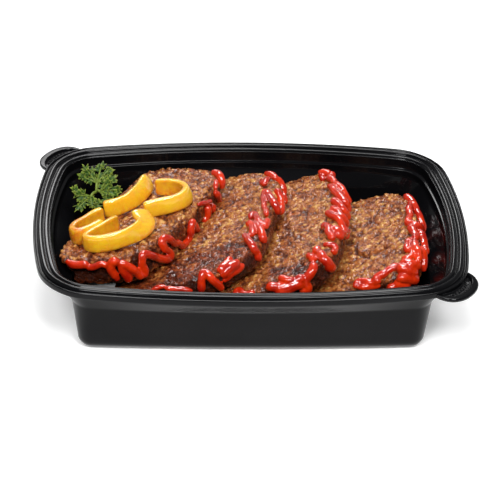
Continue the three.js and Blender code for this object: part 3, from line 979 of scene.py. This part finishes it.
# ---------- pepper ----------
def pepper_strip(name, seed, settings):
    """A bent band of pepper wall on the first slice, standing on its edge or leaning inward."""
    base = slice_matrix("slice_1")
    inverse = base.inverted()
    height, thick = settings.height / MM, settings.thick / MM
    count, sides = 120, 32
    stops, leans = [], []
    for x, y, *more in STRIP_ROUTES[name]:
        lean, lift = (*more, 0, 0)[:2]
        stop = inverse @ Vector((x, y, face_height("slice_1", x, y)))
        lean = math.radians(lean)
        half = (height * math.cos(lean) + thick * math.sin(lean)) / 2
        stops.append(stop + Vector((0, 0, 0.3 + lift + half)))
        leans.append(Vector((lean, 0, 0)))
    path, turns = spline(stops, count), spline(leans, count)
    above = Vector((0, 0, 1))
    vertices, rind = [], []
    for i, at in enumerate(path):
        ahead = (path[min(i + 1, count)] - path[max(i - 1, 0)]).normalized()
        out = Vector((ahead.y, -ahead.x, 0)).normalized()
        t = i / count
        lean = turns[i].x + 0.12 * noise.noise(Vector((t * 3.0, seed, 0)))
        tall = height * (1 + 0.07 * noise.noise(Vector((t * 4.0, seed + 3, 0))) + 0.12 * math.sin(abs(lean)))
        wide = thick * (1 + 0.22 * noise.noise(Vector((t * 5.0, seed + 6, 0))))
        end = min(i, count - i) / 4
        cap = min(1.0, 0.80 + 0.20 * math.sqrt(min(1.0, end)))
        up = above * math.cos(lean) - out * math.sin(lean)
        side = out * math.cos(lean) + above * math.sin(lean)
        for k in range(sides):
            angle = 2 * math.pi * k / sides
            c, s = math.cos(angle), math.sin(angle)
            a = math.copysign(abs(c) ** 0.45, c) * wide / 2 * cap
            b = math.copysign(abs(s) ** 0.40, s) * tall / 2 * cap
            bulge = 0.55 * (1 - (2 * b / tall) ** 2)
            wobble = 0.14 * noise.noise(Vector((t * 26, k * 0.8, seed)))
            place = at + side * (a + bulge + wobble) + up * b
            vertices.append(base @ place)
            browned = (STRIPS_BROWN - vertices[-1].x) / 8
            # Painted shade: the inner face (a below 0) is made darker orange; the bottom of the wall and the
            # cut ends are orange too.
            cut = max(0.0, -2 * b / tall - 0.35) / 0.65 + 0.45 * (a < 0) + 0.5 * (end < 0.3)
            rind.append(min(1.0, max(cut, browned)))
    made = new_object(name + "_flesh", vertices, tube_faces(count + 1, sides))
    set_attributes(made.data, rind=rind)
    return made


# ---------- parsley ----------
def leaflet(centre, along, facing, size, seed):
    """One frilled leaflet as a deeply cut fan that grows along a direction."""
    rows, columns = 6, 44
    across = along.cross(facing).normalized()
    normal = across.cross(along).normalized()
    vertices, tips = [], []
    for j in range(rows + 1):
        r = j / rows
        for i in range(columns + 1):
            a = mix(-1.35, 1.35, i / columns)
            lobe = abs(math.cos(3.4 * a + 0.25 * math.sin(seed)))
            tooth = abs(math.sin(11 * a + seed))
            reach = size * r * (1.1 - 0.25 * abs(a)) * (1 - r * r * (0.55 * (1 - lobe) + 0.26 * tooth))
            ruffle = size * r * (0.16 * math.sin(6.8 * a + seed * 1.7) + 0.08 * r * math.sin(17 * a + seed))
            curl = size * 0.30 * r * r * math.sin(seed * 3.1)
            vertices.append(centre + across * (reach * math.sin(a)) + along * (reach * math.cos(a))
                            + normal * (ruffle + curl))
            tips.append(r * (0.6 + 0.4 * lobe))
    return vertices, grid_faces(rows, columns), tips


def parsley_sprig(settings):
    """A sprig of curly parsley: three fronds whose side stems carry frilled leaflets."""
    hub = Vector((-84, 27, 46.5))
    size = settings.leaf / MM
    vertices, faces, tips = [], [], []

    def add(more, quads, marks):
        faces.extend(shifted(quads, len(vertices)))
        vertices.extend(more)
        tips.extend(marks)

    grown = 0
    for base, tip, stems, fan in FRONDS:
        base, tip = Vector(base), Vector(tip)
        more, quads = tube_rings(spline([hub, hub.lerp(base, 0.6) + Vector((0, 0, 0.8)), base], 8),
                                 [0.8 - 0.03 * i for i in range(9)], 8)
        add(more, quads, [0.8] * len(more))
        axis = (tip - base).normalized()
        facing = Vector((0, -0.5, 0.87))
        side = axis.cross(facing).normalized()
        for k in range(stems):
            swing = math.radians(fan) * (2 * k / (stems - 1) - 1)
            reach = (tip - base).length * (1 - 0.22 * abs(swing))
            lift = side.cross(axis) * (0.22 * math.sin(k * 2.3))
            along = (axis * math.cos(swing) + side * math.sin(swing) + lift).normalized()
            twig = [base + along * reach * share for share in (0, 0.25, 0.5, 0.75, 0.95)]
            more, quads = tube_rings(twig, [0.45, 0.42, 0.38, 0.32, 0.25], 6)
            add(more, quads, [0.75] * len(more))
            for share, turn in ((0.30, -0.9), (0.42, 0.9), (0.58, -0.7), (0.70, 0.7), (0.80, 0.0)):
                grown += 1
                tilt = Vector((0.5 * math.sin(grown * 2.1), 0.4 * math.sin(grown * 3.7), 0))
                aside = along.cross(facing).normalized()
                outward = (along * math.cos(turn) + aside * math.sin(turn)).normalized()
                leaf = size * (0.85 + 0.25 * math.sin(grown * 1.9)) * (0.7 if share < 0.5 else 1.0)
                add(*leaflet(base + along * reach * share, outward, (facing + tilt).normalized(), leaf,
                             grown * 1.3))
    made = new_object("parsley_leaves_open", vertices, faces)
    set_attributes(made.data, tip=tips)
    thick = made.modifiers.new("Leaf thickness", "SOLIDIFY")
    thick.thickness = 0.22 * MM
    thick.offset = 0
    return baked(made, "parsley_leaves")


# ---------- stage ----------
def direction(azimuth, elevation):
    """The way from the meal to a place round it, from degrees round from the front and above the floor."""
    a, e = math.radians(azimuth), math.radians(elevation)
    return Vector((math.sin(a) * math.cos(e), -math.cos(a) * math.cos(e), math.sin(e)))


def soft_light(name, kind, towards, **settings):
    """A wide light that shines on the meal from the given direction."""
    data = bpy.data.lights.new(name, kind)
    for key, value in settings.items():
        setattr(data, key, value)
    lamp = placed(name, data)
    lamp.rotation_euler = towards.to_track_quat("Z", "Y").to_euler()
    return lamp


def paint_sky(tree, strength):
    """Even light from all round, brighter from behind than from the front."""
    s = Nodes(tree)
    depth = s.new("SeparateXYZ", Vector=s.new("TexCoord").outputs["Generated"]).outputs["Y"]
    level = s.span(depth, -0.7, 0.7, 0.5 * strength, 1.3 * strength)
    s.fill(tree.nodes["Background"], Color=WHITE, Strength=level)


def floor():
    """A wide pale floor."""
    made = new_object("floor", [(x * FLOOR_HALF, y * FLOOR_HALF, 0) for x, y in
                                ((-1, -1), (1, -1), (1, 1), (-1, 1))], [(0, 1, 2, 3)])
    s = Shader("Pale floor")
    tone = s.blend(s.noise(s.position(), 400.0, 2.0), (0.90, 0.90, 0.90), (0.93, 0.93, 0.93))
    made.data.materials.append(s.surface(Base_Color=tone, Roughness=0.85, Specular_IOR_Level=0.1,
                                         Emission_Color=WHITE, Emission_Strength=0.22))


def backdrop():
    """A low white wall all round, which ends the floor in views from near its level."""
    count = 96
    turns = [2 * math.pi * k / count for k in range(count)]
    ring = [(BACKDROP_RADIUS * math.cos(turn), BACKDROP_RADIUS * math.sin(turn)) for turn in turns]
    made = new_object("backdrop", [(x, y, z) for z in (0, BACKDROP_HEIGHT) for x, y in ring],
                      loft_faces(2, count))
    made.data.materials.append(Shader("White backdrop").surface(
        Base_Color=(0.0, 0.0, 0.0), Specular_IOR_Level=0.0, Emission_Color=WHITE, Emission_Strength=1.0))


def camera_pose(stage):
    """Where the camera stands, from its angles round the meal."""
    back = direction(stage.azimuth, stage.elevation)
    roll = math.radians(stage.roll)
    right = (-back).cross(Vector((0, 0, 1))).normalized()
    up = right.cross(-back)
    turned = right * math.cos(roll) + up * math.sin(roll)
    upright = up * math.cos(roll) - right * math.sin(roll)
    turn = Matrix((turned, upright, back)).transposed().to_4x4()
    return Matrix.Translation(Vector(stage.target) + back * stage.distance) @ turn


# ---------- settings ----------
def number(name, description, default, **more):
    return FloatProperty(name=name, description=description, default=default, **more)


def length(name, description, default):
    return number(name, description, default * MM, unit="LENGTH")


def colour(name, description, default):
    return FloatVectorProperty(name=name, description=description, default=default, subtype="COLOR", size=3)


class MealTraySettings(bpy.types.PropertyGroup):
    wall: length("Wall", "Thickness of the moulded sheet", 0.8)
    gloss: number("Roughness", "Roughness of the plastic", 0.11)
    colour: colour("Colour", "Colour of the plastic", (0.0025, 0.0025, 0.0030))


class MealMeatSettings(bpy.types.PropertyGroup):
    voxel: length("Mesh size", "Size of the slices' mesh faces", 0.60)
    lump: length("Lumps", "Height of the coarse lumps", 0.6)
    crumb: length("Crumbs", "Height of the fine crumbs", 0.6)
    crack: length("Cracks", "Depth of the cracks", 1.0)
    loose: IntProperty(name="Loose crumbs", description="Loose crumbs on each slice", default=420)
    # Dark is also the painted shade in the pits and cracks.
    dark: colour("Dark", "Colour in the pits", (0.075, 0.013, 0.004))
    brown: colour("Brown", "Main colour of the meat", (0.190, 0.042, 0.010))
    orange: colour("Orange brown", "Colour of the juicy crumbs", (0.350, 0.090, 0.018))
    tan: colour("Tan", "Colour of the drier crumbs", (0.470, 0.158, 0.036))
    pale: colour("Pale", "Colour of the palest crumbs", (0.700, 0.375, 0.105))
    rim: colour("Rim", "Colour of the orange-brown flecks and rim", (0.450, 0.082, 0.014))
    crust: colour("Crust", "Colour of the browned crust", (0.150, 0.018, 0.005))


class MealSauceSettings(bpy.types.PropertyGroup):
    voxel: length("Mesh size", "Size of the sauce's mesh faces", 0.48)
    bright: colour("Bright", "Colour where the sauce is thin", (0.680, 0.034, 0.003))
    deep: colour("Deep", "Colour where the sauce is thick", (0.380, 0.009, 0.002))


class MealPepperSettings(bpy.types.PropertyGroup):
    height: length("Wall height", "Width of the cut ring's wall", 9.8)
    thick: length("Wall thickness", "Thickness of the pepper's flesh", 3.5)
    yellow: colour("Yellow", "Main colour of the flesh", (0.84, 0.53, 0.018))
    deep: colour("Deep yellow", "Second colour of the flesh", (0.82, 0.41, 0.012))
    # Orange is also the painted shade on the strips' inner faces.
    orange: colour("Orange", "Colour of the cooked edges", (0.66, 0.17, 0.010))
    char: colour("Char", "Colour of the browned spots", (0.16, 0.05, 0.012))


class MealParsleySettings(bpy.types.PropertyGroup):
    leaf: length("Leaflet", "Length of one leaflet", 4.6)
    deep: colour("Deep green", "Colour in the folds", (0.014, 0.042, 0.008))
    green: colour("Green", "Main colour of the leaf", (0.070, 0.150, 0.020))
    pale: colour("Pale green", "Colour of the teeth", (0.270, 0.340, 0.045))


class MealStageSettings(bpy.types.PropertyGroup):
    lens: number("Lens", "Focal length on a 36 mm sensor", 137.8)
    elevation: number("Elevation", "Camera angle above the floor, degrees", 33.98)
    azimuth: number("Azimuth", "Camera angle round the meal, degrees", -3.76)
    roll: number("Roll", "Camera tilt about its view, degrees", 2.28)
    distance: number("Distance", "Camera distance", 1.0608, unit="LENGTH")
    target: FloatVectorProperty(name="Target", description="Point the camera looks at", size=3,
                                default=(0.0016, 0.0, 0.0291), subtype="TRANSLATION")
    key: number("Key light", "Strength of the main light", 2.0)
    fill: number("Fill light", "Strength of the light from the left", 1.75)
    top: number("Top light", "Strength of the light from above", 0.6)
    sheen: number("Sheen", "Strength of the light seen only in shine", 3.0)
    panel: number("Back panel", "Brightness of the wide light behind", 15.0)
    sky: number("Sky", "Strength of the even light from all round", 0.24)


# ---------- operators ----------
class MEAL_OT_tray(bpy.types.Operator):
    """Make the moulded tray and its two corner tabs"""
    bl_idname = "meal.tray"
    bl_label = "Tray"

    def execute(self, context):
        settings = context.scene.meal_tray
        material = tray_material(settings)
        for piece in (tray_shell(settings), corner_tab("tab_far_left", 1), corner_tab("tab_near_right", -1)):
            finish_piece(piece, material, "tray_plastic", "tray")
        return {"FINISHED"}


class MEAL_OT_slices(bpy.types.Operator):
    """Make the four crumbly loaf slices"""
    bl_idname = "meal.slices"
    bl_label = "Meatloaf slices"

    def execute(self, context):
        settings = context.scene.meal_meat
        material = meat_material(settings)
        for index, name in enumerate(SLICES):
            finish_piece(loaf_slice(name, index * 20 + 3, settings), material, "baked_meat", name)
        return {"FINISHED"}


class MEAL_OT_sauce(bpy.types.Operator):
    """Pipe the sauce along each slice's crust edge"""
    bl_idname = "meal.sauce"
    bl_label = "Tomato sauce"

    def execute(self, context):
        settings = context.scene.meal_sauce
        material = sauce_material(settings)
        tree = meat_tree()
        for name, beads in SAUCE_BEADS.items():
            routes = [sauce_route(name, stops, radius, seed) for seed, (radius, stops) in enumerate(beads)]
            finish_piece(sauce_bead("sauce_on_" + name, routes, tree, settings), material, "tomato_sauce")
        return {"FINISHED"}


class MEAL_OT_peppers(bpy.types.Operator):
    """Make the bent pepper strips on the first slice"""
    bl_idname = "meal.peppers"
    bl_label = "Pepper strips"

    def execute(self, context):
        settings = context.scene.meal_pepper
        material = pepper_material(settings)
        for index, name in enumerate(STRIP_ROUTES):
            finish_piece(pepper_strip(name, index * 10 + 2, settings), material, "pepper_flesh", name)
        return {"FINISHED"}


class MEAL_OT_parsley(bpy.types.Operator):
    """Make the sprig of curly parsley"""
    bl_idname = "meal.parsley"
    bl_label = "Parsley sprig"

    def execute(self, context):
        settings = context.scene.meal_parsley
        finish_piece(parsley_sprig(settings), parsley_material(settings), "parsley_leaf", "parsley_sprig")
        return {"FINISHED"}


class MEAL_OT_stage(bpy.types.Operator):
    """Make the pale floor, the backdrop, the soft lights and the camera"""
    bl_idname = "meal.stage"
    bl_label = "Stage"

    def execute(self, context):
        scene = context.scene
        stage = scene.meal_stage
        floor()
        backdrop()
        for name, (azimuth, elevation, spread) in SUNS.items():
            sun = soft_light(name, "SUN", direction(azimuth, elevation), angle=math.radians(spread),
                             energy=getattr(stage, name))
            sun.visible_diffuse = name != "sheen"
        wide, high = PANEL_SIZE
        panel = soft_light("back panel", "AREA", PANEL_PLACE, shape="RECTANGLE", size=wide, size_y=high,
                           energy=stage.panel * math.pi * wide * high)
        panel.location = PANEL_PLACE
        scene.world = bpy.data.worlds.new("Even light")
        scene.world.use_nodes = True
        paint_sky(scene.world.node_tree, stage.sky)
        scene.view_settings.view_transform = "Standard"
        scene.camera = placed("camera", bpy.data.cameras.new("camera"))
        scene.camera.data.lens = stage.lens
        scene.camera.data.clip_start, scene.camera.data.clip_end = 0.05, 20.0
        scene.camera.matrix_world = camera_pose(stage)
        return {"FINISHED"}


class MEAL_PT_panel(bpy.types.Panel):
    """The meal's pieces in the order they are made"""
    bl_idname = "MEAL_PT_panel"
    bl_label = "Packed meatloaf meal"
    bl_space_type = "VIEW_3D"
    bl_region_type = "UI"
    bl_category = "Meal"

    def draw(self, context):
        for operator in OPERATORS:
            self.layout.operator(operator.bl_idname)


SETTINGS = {
    "meal_tray": MealTraySettings, "meal_meat": MealMeatSettings, "meal_sauce": MealSauceSettings,
    "meal_pepper": MealPepperSettings, "meal_parsley": MealParsleySettings, "meal_stage": MealStageSettings,
}
OPERATORS = (
    MEAL_OT_stage, MEAL_OT_tray, MEAL_OT_slices, MEAL_OT_sauce, MEAL_OT_peppers, MEAL_OT_parsley,
)


def register():
    for cls in (*SETTINGS.values(), *OPERATORS, MEAL_PT_panel):
        bpy.utils.register_class(cls)
    for name, cls in SETTINGS.items():
        setattr(bpy.types.Scene, name, PointerProperty(type=cls))


def unregister():
    for name in SETTINGS:
        delattr(bpy.types.Scene, name)
    for cls in (MEAL_PT_panel, *reversed(OPERATORS), *SETTINGS.values()):
        bpy.utils.unregister_class(cls)


def main():
    register()
    bpy.ops.meal.stage()
    bpy.ops.meal.tray()
    bpy.ops.meal.slices()
    bpy.ops.meal.sauce()
    bpy.ops.meal.peppers()
    bpy.ops.meal.parsley()


if __name__ == "__main__":
    main()
